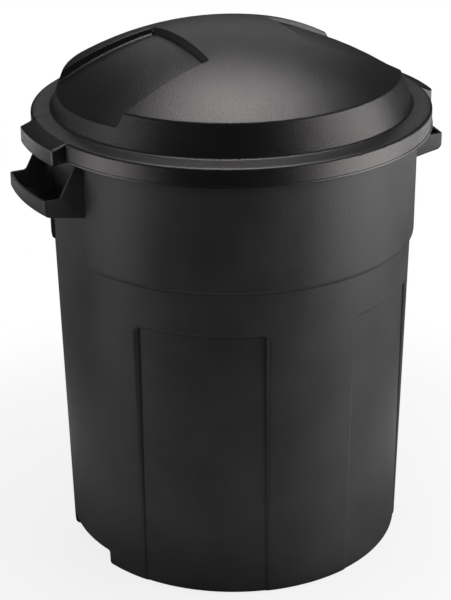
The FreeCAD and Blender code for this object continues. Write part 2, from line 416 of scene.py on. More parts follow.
@dataclass
class Can:
    """The can without its handles: tapered wall, upper band, sunk panels, toe notches, rim and floor."""

    wall: float = 2.6
    foot_radius: float = 208.6
    draft: float = 1.36
    rim_z: float = 560.0
    foot_round: float = 8.0
    floor_ring: float = 168.0
    floor_raise: float = 5.0
    floor_slope: float = 8.0
    band_z: float = 401.5
    band_step: float = 4.2
    band_draft: float = 0.5
    band_round: float = 6.0
    band_blend: float = 2.5
    rim_radius: float = 235.92
    rim_lip: float = 14.0
    rim_ease: float = 1.0
    rim_fall: float = 2.5
    panel_near: float = 14.2
    panel_far: float = 58.6
    panel_top: float = 351.5
    panel_depth_top: float = 6.0
    panel_depth_foot: float = 1.2
    panel_corner: float = 11.0
    panel_edge: float = 5.0
    notch_half: float = 57.0
    notch_height: float = 22.0
    notch_face: float = 183.6
    notch_corner: float = 3.0
    notch_soft: tuple[float, float] = (-0.5, 0.7)
    gap_half: float = 57.0
    gap_soft: float = 0.6
    straight_reach: tuple[float, float] = (150.0, 180.0)
    straight_width: tuple[float, float] = (110.0, 75.0)

    # what is stored on the sheet's points
    POINT_VALUES = ("level", "skin", "inset", "own", "share", "swing", "side")
    # radii of the floor's rows, and steps of columns and rows from the edges that they are named for
    FLOOR_RADII = (20.0, 70.0, 120.0)
    GAP_STEPS = (-3, -1.8, -1, -0.6, -0.3, 0, 0.3, 0.6, 1)
    GAP_WALL_STEPS = (-1, -0.6, -0.3, 0, 0.3, 0.6, 1, 2, 4.5, 8, 13, 19, 26, 33, 40)
    PANEL_SIDE_STEPS = (-4, -2.6, -1.2, 0)
    PANEL_FLOOR_STEPS = (5.7, 6.8, 8.4, 10.6, 13.5)
    NOTCH_INNER_STEPS = (-3, -1.5, -0.8, -0.4, 0, 0.4, 0.8, 1.5, 4)
    PANEL_INNER_STEPS = (-11, -8, -6, -4.5, -3, -2, -1, 0, 1, 2.5)
    BAND_INNER_STEPS = (-20, -6, -1, 0, 1, 2.2, 3.6, 5.2, 7, 9.5, 14)
    BAND_STEPS = (13, 10.5, 8.6, 6.8, 5.2, 3.8, 2.6, 1.6, 0.8, 0.2, -0.4, -1.2, -3, -10, -24, -38)
    PANEL_TOP_STEPS = (7, 4, 2, 0.7, 0)
    PANEL_BELOW_STEPS = (-5.7, -6.8, -8.4, -10.6, -13)
    NOTCH_STEPS = (6, 3, 1.6, 0.9, 0.5, 0.2, -0.2, -0.5, -0.9, -1.6, -2.6, -4)

    def wall_radius(self, level: float) -> float:
        """Outer radius of the plain tapered wall at a height."""
        return self.foot_radius + level * math.tan(math.radians(self.draft))

    def edge_steps(self) -> np.ndarray:
        """Distances across a panel's rounded edge, closer together where it gets steep."""
        return self.panel_edge * np.append(np.sin(np.linspace(0, math.pi / 2, 13)[1:]), 1.03)

    def swings(self) -> np.ndarray:
        """Angles of one quarter's columns, close together at the edges of handle gap, notch and panels.

        Returns:
            The angles from the handle's middle to the front's, in radians.
        """
        reach = self.foot_radius
        inner_edge = self.gap_half + self.wall
        lines = [*np.linspace(0, self.gap_half - 5, 9)]
        lines += [self.gap_half + step for step in self.GAP_STEPS]
        lines += [inner_edge + step for step in self.GAP_WALL_STEPS]
        fine = [*self.PANEL_SIDE_STEPS, *self.edge_steps(), *self.PANEL_FLOOR_STEPS]
        low = math.radians(90 - self.panel_far)
        high = math.radians(90 - self.panel_near)
        angles = [math.asin(line / reach) for line in lines]
        angles += [low + step / reach for step in fine]
        angles += list(np.linspace(low + 19 / reach, high - 19 / reach, 22))
        angles += [high - step / reach for step in reversed(fine)]
        angles += list(np.linspace(high + 9 / reach, math.pi / 2, 8))
        return np.array(angles)

    def columns(self) -> tuple[np.ndarray, np.ndarray]:
        """All columns round the can.

        Returns:
            The angle of each from the X axis towards +Y, within a quarter turn, and its side of the can.
        """
        quarter = self.swings()
        half = np.concatenate([-quarter[:0:-1], quarter])
        swing = np.concatenate([half, half[-2:0:-1]])
        side = np.concatenate([np.ones(len(half)), -np.ones(len(half) - 2)])
        return swing, side

    def inner_levels(self) -> list[float]:
        """Heights of the rows inside the wall.

        Returns:
            The heights, upwards.
        """
        notch_top = self.notch_height + self.wall
        panel_top = self.panel_top + self.wall
        levels = [notch_top + step for step in self.NOTCH_INNER_STEPS]
        levels += list(np.linspace(notch_top + 25, self.panel_top - 16, 9))
        levels += [panel_top + step for step in self.PANEL_INNER_STEPS]
        levels += [self.band_z + step for step in self.BAND_INNER_STEPS]
        return levels + list(np.linspace(self.band_z + 40, self.rim_z - 8, 4))

    def outer_levels(self) -> list[float]:
        """Heights of the rows outside the wall.

        Returns:
            The heights, downwards.
        """
        levels = list(np.linspace(self.rim_z - 20, self.band_z + 18, 8))
        levels += [self.band_z + step for step in self.BAND_STEPS]
        panel_steps = (*self.PANEL_TOP_STEPS, *(-self.edge_steps()), *self.PANEL_BELOW_STEPS)
        levels += [self.panel_top + step for step in panel_steps]
        levels += list(np.linspace(self.panel_top - 22, self.notch_height + 14, 16))
        return levels + [self.notch_height + step for step in self.NOTCH_STEPS]

    def foot_rows(self, skin: float, angles: np.ndarray) -> list[Row]:
        """Rows of the rounded edge between wall and foot.

        Args:
            skin: how far inside the wall they lie.
            angles: how far up the rounding each row is, in radians.

        Returns:
            The rows.
        """
        bend = self.foot_round - skin
        turns = [(math.cos(angle), math.sin(angle)) for angle in angles]
        return [(self.foot_round - bend * down, skin, bend * (1 - out), 0, 1) for down, out in turns]

    def rim_rows(self) -> list[Row]:
        """Rows of the rim, from the inside of the wall over its top and round its turned-down lip.

        The top falls outwards as the lid's flange does, so that the flange lies on it.

        Returns:
            The rows.
        """
        skin = self.wall
        top = self.rim_z
        inner = self.wall_radius(top) - skin
        outer = self.rim_radius
        lip = top - self.rim_lip
        root = self.wall_radius(top) + 1
        crest = top - self.rim_ease
        edge = crest - self.rim_fall
        line = rounded_line([
            (inner + 1.6, top - 6, 0),
            (inner, top - 3.4, 1.0),
            (inner, crest, 1.2),
            (outer, edge, 2.0),
            (outer, lip, 1.0),
            (outer - skin, lip, 1.0),
            (outer - skin, edge - skin, 1.4),
            (root + 3.5, edge - skin + self.rim_fall / 2, 0.5),
            (root + 1.4, top - 7, 0),
        ], 4)
        return [(level, 0, 0, radius, 0) for radius, level in line[1:-1]]

    def rows(self) -> list[Row]:
        """Rows from the middle of the floor up the inside, over the rim, down the outside and under the floor.

        Returns:
            (level, skin, inset, own radius, share of the wall's rule) of each row.
        """
        skin, ring, raised = self.wall, self.floor_ring, self.floor_raise
        crest = ring - self.floor_slope
        upper = [(skin + raised, radius) for radius in (*self.FLOOR_RADII, crest - 3)]
        upper += [(skin + raised - 0.3, crest), (skin + 0.3, ring - 0.5), (skin, ring + 2)]
        under = [(0, ring + 0.6), (0.3, ring - 0.4), (raised - 0.3, crest + 0.4), (raised, crest - 1)]
        under += [(raised, radius) for radius in reversed(self.FLOOR_RADII)]
        found = [(level, 0, 0, radius, 0) for level, radius in upper]
        found += self.foot_rows(skin, np.linspace(0, math.pi / 2, 7))
        found += [(level, skin, 0, 0, 1) for level in self.inner_levels()]
        found += self.rim_rows()
        found += [(level, 0, 0, 0, 1) for level in self.outer_levels()]
        found += self.foot_rows(0, np.linspace(math.pi / 2, 0, 10))
        found.append((0, 0, self.foot_radius - ring - 12, 0, 1))
        return found + [(level, 0, 0, radius, 0) for level, radius in under]

    def sheet(self) -> bpy.types.Mesh:
        """The grid that the wall's rule bends into the can.

        Returns:
            The flat mesh, with what the rule needs stored on its points.
        """
        swing, side = self.columns()
        rows = np.array(self.rows())
        count = len(swing)
        last = (len(rows) - 1) * count
        faces = grid_faces(len(rows), count, False, True)
        faces += [tuple(range(count)), tuple(range(last + count - 1, last - 1, -1))]
        flat = np.zeros((len(rows), count, 3))
        flat[..., 0] = np.arange(count)
        flat[..., 1] = np.arange(len(rows))[:, None]
        mesh = bpy.data.meshes.new("can_sheet")
        mesh.from_pydata((flat.reshape(-1, 3) * MM).tolist(), [], faces)
        scales = (MM, MM, MM, MM, 1.0)
        stored = [np.repeat(rows[:, k] * scale, count) for k, scale in enumerate(scales)]
        stored += [np.tile(swing, len(rows)), np.tile(side, len(rows))]
        for name, values in zip(self.POINT_VALUES, stored):
            attribute = mesh.attributes.new(name, "FLOAT", "POINT")
            attribute.data.foreach_set("value", values.astype(np.float32))
        return mesh

    def inputs(self) -> dict[str, float]:
        """Named inputs of the wall's rule.

        Returns:
            Their values, in metres, radians and slopes.
        """
        lengths = {
            "Foot radius": self.foot_radius, "Band edge": self.band_z, "Band step": self.band_step,
            "Band rounding": self.band_round, "Gap half width": self.gap_half, "Panel top": self.panel_top,
            "Panel depth at top": self.panel_depth_top, "Panel depth at foot": self.panel_depth_foot,
            "Panel corner": self.panel_corner, "Panel edge": self.panel_edge,
            "Notch half width": self.notch_half, "Notch height": self.notch_height,
            "Notch face": self.notch_face, "Notch corner": self.notch_corner,
        }
        found = {name: length * MM for name, length in lengths.items()}
        found["Wall slope"] = math.tan(math.radians(self.draft))
        found["Band slope"] = math.tan(math.radians(self.band_draft))
        found["Panel near edge"] = math.radians(self.panel_near)
        found["Panel far edge"] = math.radians(self.panel_far)
        return found

    def rule(self, finish: bpy.types.Material) -> bpy.types.NodeTree:
        """Geometry nodes that give every point of the sheet its place on the can.

        Args:
            finish: the material that the tree sets.

        Returns:
            The node tree.
        """
        tree = bpy.data.node_groups.new("can_wall_rule", "GeometryNodeTree")
        tree.interface.new_socket("Sheet", in_out="INPUT", socket_type="NodeSocketGeometry")
        tree.interface.new_socket("Can", in_out="OUTPUT", socket_type="NodeSocketGeometry")
        for name in self.inputs():
            tree.interface.new_socket(name, in_out="INPUT", socket_type="NodeSocketFloat")
        start = add_node(tree, "NodeGroupInput")
        size = {name: Field(start.outputs[name]) for name in self.inputs()}
        point = {}
        for name in self.POINT_VALUES:
            node = add_node(tree, "GeometryNodeInputNamedAttribute", {"Name": name}, data_type="FLOAT")
            point[name] = Field(node.outputs["Attribute"])
        level, skin, swing = point["level"], point["skin"], point["swing"]

        line = size["Foot radius"] * swing.sine()
        offset = line.absolute()
        plain = size["Foot radius"] + level * size["Wall slope"] - skin
        radius = plain + self.band_rise(size, level, skin, plain, offset)
        radius = radius - self.panel_sink(size, level, skin, swing)
        radius = radius - point["inset"]
        radius = self.notched(size, level, skin, offset, radius)
        radius = point["own"] + (radius - point["own"]) * point["share"]

        # columns beside the handles run straight across the can, so that gap and notch get upright sides
        near, far = (reach * MM for reach in self.straight_reach)
        wide, narrow = (width * MM for width in self.straight_width)
        straight = (line / radius.most(near)).arcsine()
        turn = swing + (straight - swing) * (radius.ramp(near, far) * offset.ramp(wide, narrow))
        spot = {"X": point["side"] * radius * turn.cosine(), "Y": radius * turn.sine(), "Z": level}
        place = add_node(tree, "ShaderNodeCombineXYZ", spot).outputs["Vector"]

        inputs = {"Geometry": start.outputs["Sheet"], "Position": place}
        moved = add_node(tree, "GeometryNodeSetPosition", inputs).outputs["Geometry"]
        real = add_node(tree, "GeometryNodeRealizeInstances", {"Geometry": moved}).outputs["Geometry"]
        dressed = add_node(tree, "GeometryNodeSetMaterial", {"Geometry": real, "Material": finish})
        add_node(tree, "NodeGroupOutput", {"Can": dressed.outputs["Geometry"]})
        return tree

    def band_rise(self, size: dict[str, Field], level: Field, skin: Field, plain: Field,
                  offset: Field) -> Field:
        """The upper band's rise, nothing below its rounded edge and in the gaps for the handles.

        Args:
            size: the rule's inputs.
            level: height of the point.
            skin: how far inside the outer face it lies.
            plain: its radius on the plain wall.
            offset: its distance from the handles' middle plane.

        Returns:
            How far it stands out from the plain wall.
        """
        edge_radius = size["Foot radius"] + size["Band edge"] * size["Wall slope"] + size["Band step"]
        face = edge_radius + (level - size["Band edge"]) * size["Band slope"] - skin
        reach = size["Band rounding"] - size["Band step"]
        below = (size["Band rounding"] * size["Band rounding"] - reach * reach).root()
        bend = size["Band rounding"] - skin
        fall = (size["Band edge"] + below - level).most(0.0)
        turned_in = bend - (bend * bend - fall * fall).most(0.0).root() + (fall - bend).most(0.0)
        gap = size["Gap half width"] + skin
        beside = offset.ramp(gap - self.gap_soft * MM, gap + self.gap_soft * MM)
        return (face - turned_in - plain).smooth_most(0.0, self.band_blend * MM) * beside

    def panel_sink(self, size: dict[str, Field], level: Field, skin: Field, swing: Field) -> Field:
        """The sunk panels' depth, more towards their tops.

        Args:
            size: the rule's inputs.
            level: height of the point.
            skin: how far inside the outer face it lies.
            swing: its angle from the handles.

        Returns:
            How far it lies inside the wall.
        """
        from_front = (swing.absolute() - math.pi / 2) * -1.0
        span = (from_front - size["Panel near edge"]).least(size["Panel far edge"] - from_front)
        across = span * size["Foot radius"] + skin
        along = size["Panel top"] + skin - level
        inside = (size["Panel corner"] + skin).inside_corner(across, along)
        share = level / size["Panel top"]
        foot = size["Panel depth at foot"]
        depth = foot + (size["Panel depth at top"] - foot) * share
        turned = (inside / size["Panel edge"]).most(0.0).least(1.0)
        return depth - depth * (turned * turned * -1.0 + 1.0).root()

    def notched(self, size: dict[str, Field], level: Field, skin: Field, offset: Field,
                radius: Field) -> Field:
        """The toe notch with its flat back wall.

        Args:
            size: the rule's inputs.
            level: height of the point.
            skin: how far inside the outer face it lies.
            offset: its distance from the handles' middle plane.
            radius: its radius without the notch.

        Returns:
            Its radius with the notch.
        """
        across = size["Notch half width"] + skin - offset
        along = size["Notch height"] + skin - level
        inside = (size["Notch corner"] + skin).inside_corner(across, along)
        flat = (size["Notch face"] - skin).root_of_squares(offset)
        low, high = (soft * MM for soft in self.notch_soft)
        return radius + (flat.least(radius) - radius) * inside.ramp(low, high)

    def build(self, finish: bpy.types.Material) -> bpy.types.Object:
        """Bends the sheet by the rule.

        Args:
            finish: the can's material.

        Returns:
            The result as a plain mesh piece.
        """
        raw = in_scene("can_sheet", self.sheet())
        bend = raw.modifiers.new("wall_rule", "NODES")
        bend.node_group = self.rule(finish)
        values = self.inputs()
        for item in bend.node_group.interface.items_tree:
            if item.item_type == "SOCKET" and item.in_out == "INPUT" and item.name in values:
                bend[item.identifier] = values[item.name]
        seen = raw.evaluated_get(bpy.context.evaluated_depsgraph_get())
        mesh = bpy.data.meshes.new_from_object(seen)
        raw.modifiers.remove(bend)
        bpy.data.objects.remove(raw)
        mesh.name = "can_moulding"
        for name in self.POINT_VALUES:
            if name in mesh.attributes:
                mesh.attributes.remove(mesh.attributes[name])
        return placed("can_moulding", mesh, finish)


@dataclass
class ScoopHandle:
    """One scoop handle: two cheeks, a sloping floor and a grip lip, open at the top."""

    side: Side
    half: float = 57.0
    wall: float = 3.0
    outer: float = 270.0
    lip_top: float = 497.0
    lip_height: float = 20.4
    lip_round: float = 1.2
    slope: float = 0.21
    ledge: float = 19.0
    slant: float = 25.7
    top: float = 546.0
    tip_round: float = 8.0
    edge_round: float = 3.0
    rim_round: float = 0.9
    sunk: float = 1.2
    flare: float = 8.0
    tip_points: int = 12
    bend_points: int = 8
    wall_foot: float = 208.6
    wall_slope: float = 0.023741

    # places of the sections in a cheek, in thirds of its thickness
    CHEEK_STEPS = (0, 0.25, 0.9, 1.5, 1.9, 2.2, 2.45, 2.65, 2.8, 2.92, 3.0)

    def root(self, level: float) -> float:
        """Radius at which the handle ends, just inside the can's wall, at a height."""
        return self.wall_foot + level * self.wall_slope - self.sunk

    def outside(self, inset: float) -> np.ndarray:
        """Underside and outer lip face, from the wall out and up to the lip's top.

        Args:
            inset: how far the line lies inside the handle's full outline.

        Returns:
            Array of (radius, height) points.
        """
        tip = self.lip_top - self.lip_height
        root = self.root(tip)
        foot = tip - self.slope * (self.outer - root) + inset
        return rounded_line([
            (root, foot, 0),
            (self.outer - inset, tip + inset, self.tip_round - inset),
            (self.outer - inset, self.lip_top, 0),
        ], self.tip_points)

    def floor_radii(self) -> np.ndarray:
        """Radii along the scoop's floor.

        Returns:
            The radii inwards, close together below the bends of the cheeks' edges.
        """
        ledge = self.outer - self.ledge
        crest = ledge - self.slant
        start = self.outer - self.wall - self.tip_round + 1.5
        return np.concatenate([
            np.linspace(start, ledge + 4, 4)[:-1], np.linspace(ledge + 4, ledge - 4, 9),
            np.linspace(ledge - 4, crest + 3, 6)[1:-1], np.linspace(crest + 3, crest - 2.5, 7),
        ])

    def scoop(self) -> np.ndarray:
        """Lip's rounded top, its inner face and the floor of the scoop, down to the wall.

        Returns:
            Array of (radius, height) points.
        """
        tip = self.lip_top - self.lip_height
        inner = self.outer - self.wall
        lift = self.wall * math.sqrt(1 + self.slope ** 2)
        root = self.root(tip)
        foot = tip - self.slope * (self.outer - root) + lift
        lip = rounded_line([
            (self.outer, self.lip_top - 2, 0),
            (self.outer, self.lip_top, self.lip_round),
            (inner, self.lip_top, self.lip_round),
            (inner, tip - self.slope * self.wall + lift, self.tip_round - self.wall),
            (root, foot, 0),
        ], self.bend_points)[1:-1]
        radii = np.append(self.floor_radii(), root)
        return np.concatenate([lip, np.stack([radii, foot + self.slope * (radii - root)], axis=1)])

    def cheek_top(self, drop: float, inset: float) -> np.ndarray:
        """Upper edge of a cheek, from the lip back along the ledge and up the slant to the rim.

        Args:
            drop: how far the edge lies below its full height, for its rounding.
            inset: how far the lip's face is drawn in at this cheek's outer edge.

        Returns:
            Array of (radius, height) points, each over the point of the scoop's line with the same number.
        """
        ledge = self.outer - self.ledge
        level = self.lip_top - drop
        end = self.root(self.top)
        line = rounded_line([
            (self.outer - inset, self.lip_top - 2, 0),
            (self.outer - inset, level, self.lip_round),
            (ledge, level, 5.0),
            (ledge - self.slant, self.top - drop, 3.0),
            (end, self.top - drop, 0),
        ], self.bend_points)[1:]
        front = line[:self.bend_points]
        floor = self.floor_radii()
        lip = np.linspace(front[-1, 0], floor[0], 2 * self.bend_points + 2)[1:-1]
        radii = np.concatenate([lip, floor, [end]])
        heights = np.interp(radii, line[::-1, 0], line[::-1, 1])
        return np.concatenate([front, np.stack([radii, heights], axis=1)])

    def flared(self, line: float, loop: np.ndarray) -> np.ndarray:
        """Distances from the handle's middle along a section, the cheeks' inner faces curving into the wall.

        Args:
            line: the section's distance from the middle.
            loop: its (radius, height) points.

        Returns:
            One distance for each point.
        """
        inner = self.half - self.wall
        past = np.clip(self.flare - (loop[:, 0] - self.root(self.lip_top) - self.sunk), 0, self.flare)
        widened = self.flare - np.sqrt(self.flare ** 2 - past ** 2)
        if line <= inner:
            return line * (inner - widened) / inner
        return self.half - (self.half - line) * (self.wall + widened) / self.wall

    def sections(self) -> list[tuple[float, np.ndarray]]:
        """Sections from the handle's middle to a cheek's outer face.

        Returns:
            The distance of each from the middle, and its loop of (radius, height) points.
        """
        inner = self.half - self.wall
        found = []
        for line in np.append(np.linspace(0, inner - 4, 13), (inner - 1.5, inner)):
            found.append((line, np.concatenate([self.outside(0)[:-1], self.scoop()])))
        for step in self.CHEEK_STEPS:
            line = inner + step * self.wall / 3.0
            turn = max(line - (self.half - self.edge_round), 0)
            inset = self.edge_round - math.sqrt(max(self.edge_round ** 2 - turn ** 2, 0))
            short = max(self.rim_round - min(line - inner, self.half - line), 0)
            drop = self.rim_round - math.sqrt(self.rim_round ** 2 - short ** 2)
            found.append((line, np.concatenate([self.outside(inset)[:-1], self.cheek_top(drop, inset)])))
        return found

    def build(self, finish: bpy.types.Material) -> bpy.types.Object:
        """Strings the sections across the handle's width and closes the cheeks' outer faces.

        Args:
            finish: the handle's material.

        Returns:
            The piece.
        """
        columns = []
        for line, loop in self.sections():
            away = self.flared(line, loop)
            along = np.sqrt(loop[:, 0] ** 2 - away ** 2)
            columns.append(np.stack([self.side.value * along, away, loop[:, 1]], axis=1))
        mirrored = [column * np.array([1, -1, 1]) for column in reversed(columns[1:])]
        points = np.stack(mirrored + columns, axis=1)
        rows, width = points.shape[:2]
        faces = grid_faces(rows, width, True, False)
        faces.append(tuple(i * width for i in range(rows)))
        faces.append(tuple(i * width + width - 1 for i in reversed(range(rows))))
        name = f"{self.side.name.lower()}_scoop_handle"
        return placed(name, closed_mesh(name, points.reshape(-1, 3), faces), finish)


@dataclass
class Lid:
    """Domed lid: skirt with a bead, flange, cone wall, dome with two finger pockets, and two pull tabs."""

    wall: float = 2.5
    skirt_radius: float = 239.92
    skirt_z: float = 537.5
    bead: float = 1.2
    bead_height: float = 3.0
    bead_lean: float = 0.45
    flange_z: float = 562.5
    flange_round: float = 3.5
    flange_fall: float = 2.6
    flange_knee: float = 9.0
    cone_radius: float = 215.92
    cone_round: float = 4.0
    cone_wall: float = 2.74
    shoulder_radius: float = 201.42
    shoulder_z: float = 599.5
    shoulder_round: float = 5.0
    apex_z: float = 654.0
    grip_half: float = 65.6
    pocket_half: float = 77.6
    pocket_splay: float = 7.4
    pocket_depth: float = 8.5
    pocket_fall: float = 0.03
    pocket_flat: float = 0.2
    pocket_corner: float = 4.0
    pocket_side: tuple[float, float] = (-1.0, 2.4)
    pocket_hollow: tuple[float, float] = (-0.6, 7.5)
    pocket_steep: float = 0.62
    tab_half: float = 52.0
    tab_radius: float = 255.42
    tab_drop: float = 9.0
    tab_z: float = 535.0
    tab_corner: float = 4.0
    tab_inner_corner: float = 1.6
    tab_ease: float = 5.0
    shoulder_points: int = 8
    corner_points: int = 6
    outer_corners: int = 6
    first_step: float = 0.28
    dome_steps: int = 30
    dome_run: float = 130.0
    front_sweep: float = 2.36

    # lines across the lid: their places, and their steps in from the edges that they are named for
    TAB_LINES = (0, 7, 14, 21, 28, 35, 41, 45, 47)
    TAB_INNER_STEPS = (1.6, 1.1, 0.7, 0.35, 0.1, -0.02)
    TAB_STEPS = (1.9, 1.4, 1.0, 0.65, 0.4, 0.2, 0.06, 0, -0.06, -0.5, -1.5)
    POCKET_LINES = (57, 61, 64.5, 67.5)
    POCKET_STEPS = (8, 6.4, 5, 3.9, 3, 2.3, 1.8, 1.4, 1.1, 0.8, 0.5, 0.25, 0)

    @property
    def spread(self) -> float:
        """How far a pocket's side moves out for each millimetre away from the grip."""
        return math.tan(math.radians(self.pocket_splay))

    @property
    def cone_slope(self) -> float:
        """How far the cone wall leans in for each millimetre up."""
        return (self.cone_radius - self.shoulder_radius) / (self.shoulder_z - self.flange_z)

    @property
    def dome_radius(self) -> float:
        """Radius of the dome's sphere."""
        rise = self.apex_z - self.shoulder_z
        return (self.shoulder_radius ** 2 + rise ** 2) / (2 * rise)

    @property
    def centre_z(self) -> float:
        """Height of the dome's centre."""
        return self.apex_z - self.dome_radius

    def sunk(self, across: np.ndarray, along: np.ndarray, skin: float) -> np.ndarray:
        """How far the finger pockets lie below the dome at places seen from above.

        Args:
            across: X of the places.
            along: Y of the places.
            skin: thickness by which the pocket's walls are moved out, for the lid's underside.

        Returns:
            Depths in millimetres.
        """
        from_grip = np.abs(across) - self.grip_half
        side = self.pocket_half + from_grip * self.spread - np.abs(along)
        from_side = side / math.hypot(1, self.spread) + skin
        corner = self.pocket_corner + skin
        past_grip = np.maximum(corner - (from_grip + skin), 0)
        inside = corner - np.hypot(past_grip, np.maximum(corner - from_side, 0))
        steep = smooth_step(inside, *self.pocket_side)
        hollow = smooth_step(inside, *self.pocket_hollow)
        deeper = self.pocket_fall * np.maximum(from_grip, 0)
        crown = np.maximum(self.pocket_half ** 2 - along ** 2, 0) / (2 * self.dome_radius)
        depth = self.pocket_depth + deeper + self.pocket_flat * crown
        return depth * (self.pocket_steep * steep + (1 - self.pocket_steep) * hollow)

    def dome_z(self, across: np.ndarray, along: np.ndarray, skin: float) -> np.ndarray:
        """Height of the dome at places seen from above, pockets included."""
        radius = self.dome_radius - skin - self.sunk(across, along, skin)
        return self.centre_z + np.sqrt(radius ** 2 - across ** 2 - along ** 2)

    def shoulder(self, sunk: float, skin: float) -> np.ndarray:
        """Arc between dome and cone wall.

        Args:
            sunk: how far the dome is sunk there.
            skin: thickness by which both are moved in, for the lid's underside.

        Returns:
            Array of (radius, height) points, from the dome's end to the cone's.
        """
        slope = self.cone_slope
        radius = self.dome_radius - sunk - skin
        base = self.shoulder_radius + slope * self.shoulder_z - skin * math.sqrt(1 + slope ** 2)
        a = 1 + slope ** 2
        b = -2 * (base * slope + self.centre_z)
        c = base ** 2 + self.centre_z ** 2 - radius ** 2
        level = (-b + math.sqrt(b ** 2 - 4 * a * c)) / (2 * a)
        corner = np.array([base - slope * level, level])
        tilt = math.asin(corner[0] / radius)
        back = corner + 50 * np.array([-math.cos(tilt), math.sin(tilt)])
        ahead = corner + 30 * np.array([slope, -1])
        return np.array(fillet(back, corner, ahead, self.shoulder_round - skin, self.shoulder_points))

    def brim(self, tab: bool) -> np.ndarray:
        """Outer line from the foot of the cone wall over the flange and skirt and back up inside.

        Args:
            tab: whether the line runs round a pull tab in place of the skirt.

        Returns:
            Array of (radius, height) points, as many for the tab as for the skirt.
        """
        wall, skirt, flange = self.wall, self.skirt_radius, self.flange_z
        under, edge = flange - wall, flange - self.flange_fall
        inner_foot = self.shoulder_radius + self.cone_slope * (self.shoulder_z - under) - self.cone_wall
        if tab:
            outer, low, face_top = self.tab_radius, self.tab_z, flange - self.tab_drop
            fold = skirt - self.flange_round
            corners = [
                (fold, edge, 1.5), (outer, face_top, 1.2), (outer, low + 9, 0.5), (outer, low + 5, 0.5),
                (outer, low, 0.7), (outer - wall, low, 0.7), (outer - wall, face_top - wall, 0.8),
                (fold, edge - wall, 0.8),
            ]
        else:
            inner, bead, bead_top = skirt - wall, skirt + self.bead, self.skirt_z + self.bead_height
            share = 1 - self.flange_knee / (skirt - self.cone_radius)
            corners = [
                (skirt - self.flange_knee, flange - self.flange_fall * share, 1.0),
                (skirt, edge, self.flange_round), (skirt, bead_top, 0.3),
                (bead - self.bead_lean, bead_top, 0.4), (bead, self.skirt_z, 0.8), (inner, self.skirt_z, 0.6),
                (inner, edge - wall, 0.8), (inner - 6, edge - wall, 0.8),
            ]
        return rounded_line([
            (self.cone_radius - 8 * self.cone_slope, flange + 8, 0),
            (self.cone_radius, flange, self.cone_round),
            *corners,
            (inner_foot, under, self.cone_round + wall),
            (inner_foot - 10 * self.cone_slope, under + 10, 0),
        ], self.corner_points)[1:-1]

    def tab_share(self, line: float, half: float, corner: float) -> float:
        """How much of a pull tab's outline a line across the lid shows.

        Args:
            line: distance of the line from the tab's middle.
            half: half the outline's width.
            corner: rounding of its upright corners.

        Returns:
            A share from 0 to 1.
        """
        past = abs(line) - (half - corner)
        if past <= 0:
            return 1.0
        if past >= corner:
            return 0.0
        return 1 - (corner - math.sqrt(corner ** 2 - past ** 2)) / (self.tab_radius - self.skirt_radius)

    def end_drop(self, line: float) -> float:
        """How far the tab's upper edge is rounded down near its end.

        Args:
            line: distance of the line across the lid from the tab's middle.

        Returns:
            The drop in millimetres.
        """
        past = abs(line) - (self.tab_half - self.tab_ease)
        if past <= 0 or abs(line) >= self.tab_half:
            return 0.0
        return self.tab_ease - math.sqrt(self.tab_ease ** 2 - past ** 2)

    def brim_at(self, line: float) -> np.ndarray:
        """The brim on a line across the lid, with as much of the pull tab as shows there.

        Args:
            line: distance of the line from the tab's middle.

        Returns:
            Array of (radius, height) points.
        """
        plain, tab = self.brim(False), self.brim(True)
        points = self.corner_points
        outer_share = self.tab_share(line, self.tab_half, self.tab_corner)
        inner_share = self.tab_share(line, self.tab_half - self.wall, self.tab_inner_corner)
        outside = np.arange(len(plain)) < self.outer_corners * points
        found = plain + (tab - plain) * np.where(outside, outer_share, inner_share)[:, None]
        found[2 * points:3 * points, 1] -= self.end_drop(line)
        return found

    def lines(self) -> np.ndarray:
        """Y of the straight lines across the pockets and tabs.

        Returns:
            The places from front to back, close together where pockets and tabs have their edges.
        """
        tab, inner = self.tab_half, self.tab_half - self.wall
        half = [*self.TAB_LINES, *(inner - step for step in self.TAB_INNER_STEPS)]
        half += [*(tab - step for step in self.TAB_STEPS), *self.POCKET_LINES]
        half += [self.pocket_half - step for step in self.POCKET_STEPS]
        return np.array([-line for line in reversed(half[1:])] + half)

    def edge_steps(self) -> np.ndarray:
        """X of the lines across the grip, close together at its edges."""
        half = np.abs(self.grip_half - growing_steps(self.grip_half, self.first_step, self.dome_steps)[::-1])
        return np.concatenate([-half[:0:-1], half])

    def ring_columns(self) -> tuple[np.ndarray, list[tuple[Sector, float]]]:
        """Columns that run from the edge of the middle rectangle out to the skirt.

        Returns:
            Their starting places seen from above, and for each its sector and what places it there: the Y of
            its line in the two side sectors, the share of the arc in the front and back ones.
        """
        lines, steps = self.lines(), self.edge_steps()
        middle = len(steps) // 2
        arc = growing_steps(0.5, self.first_step / (self.front_sweep * self.skirt_radius), middle)
        shares = np.concatenate([arc, 1 - arc[-2::-1]])
        starts, kinds = [], []
        for side, end, sign in ((Sector.RIGHT, Sector.BACK, 1), (Sector.LEFT, Sector.FRONT, -1)):
            starts += [(sign * self.grip_half, sign * line) for line in lines]
            kinds += [(side, sign * line) for line in lines]
            starts += [(-sign * step, sign * self.pocket_half) for step in steps[1:-1]]
            kinds += [(end, float(share)) for share in shares[1:-1]]
        return np.array(starts), kinds

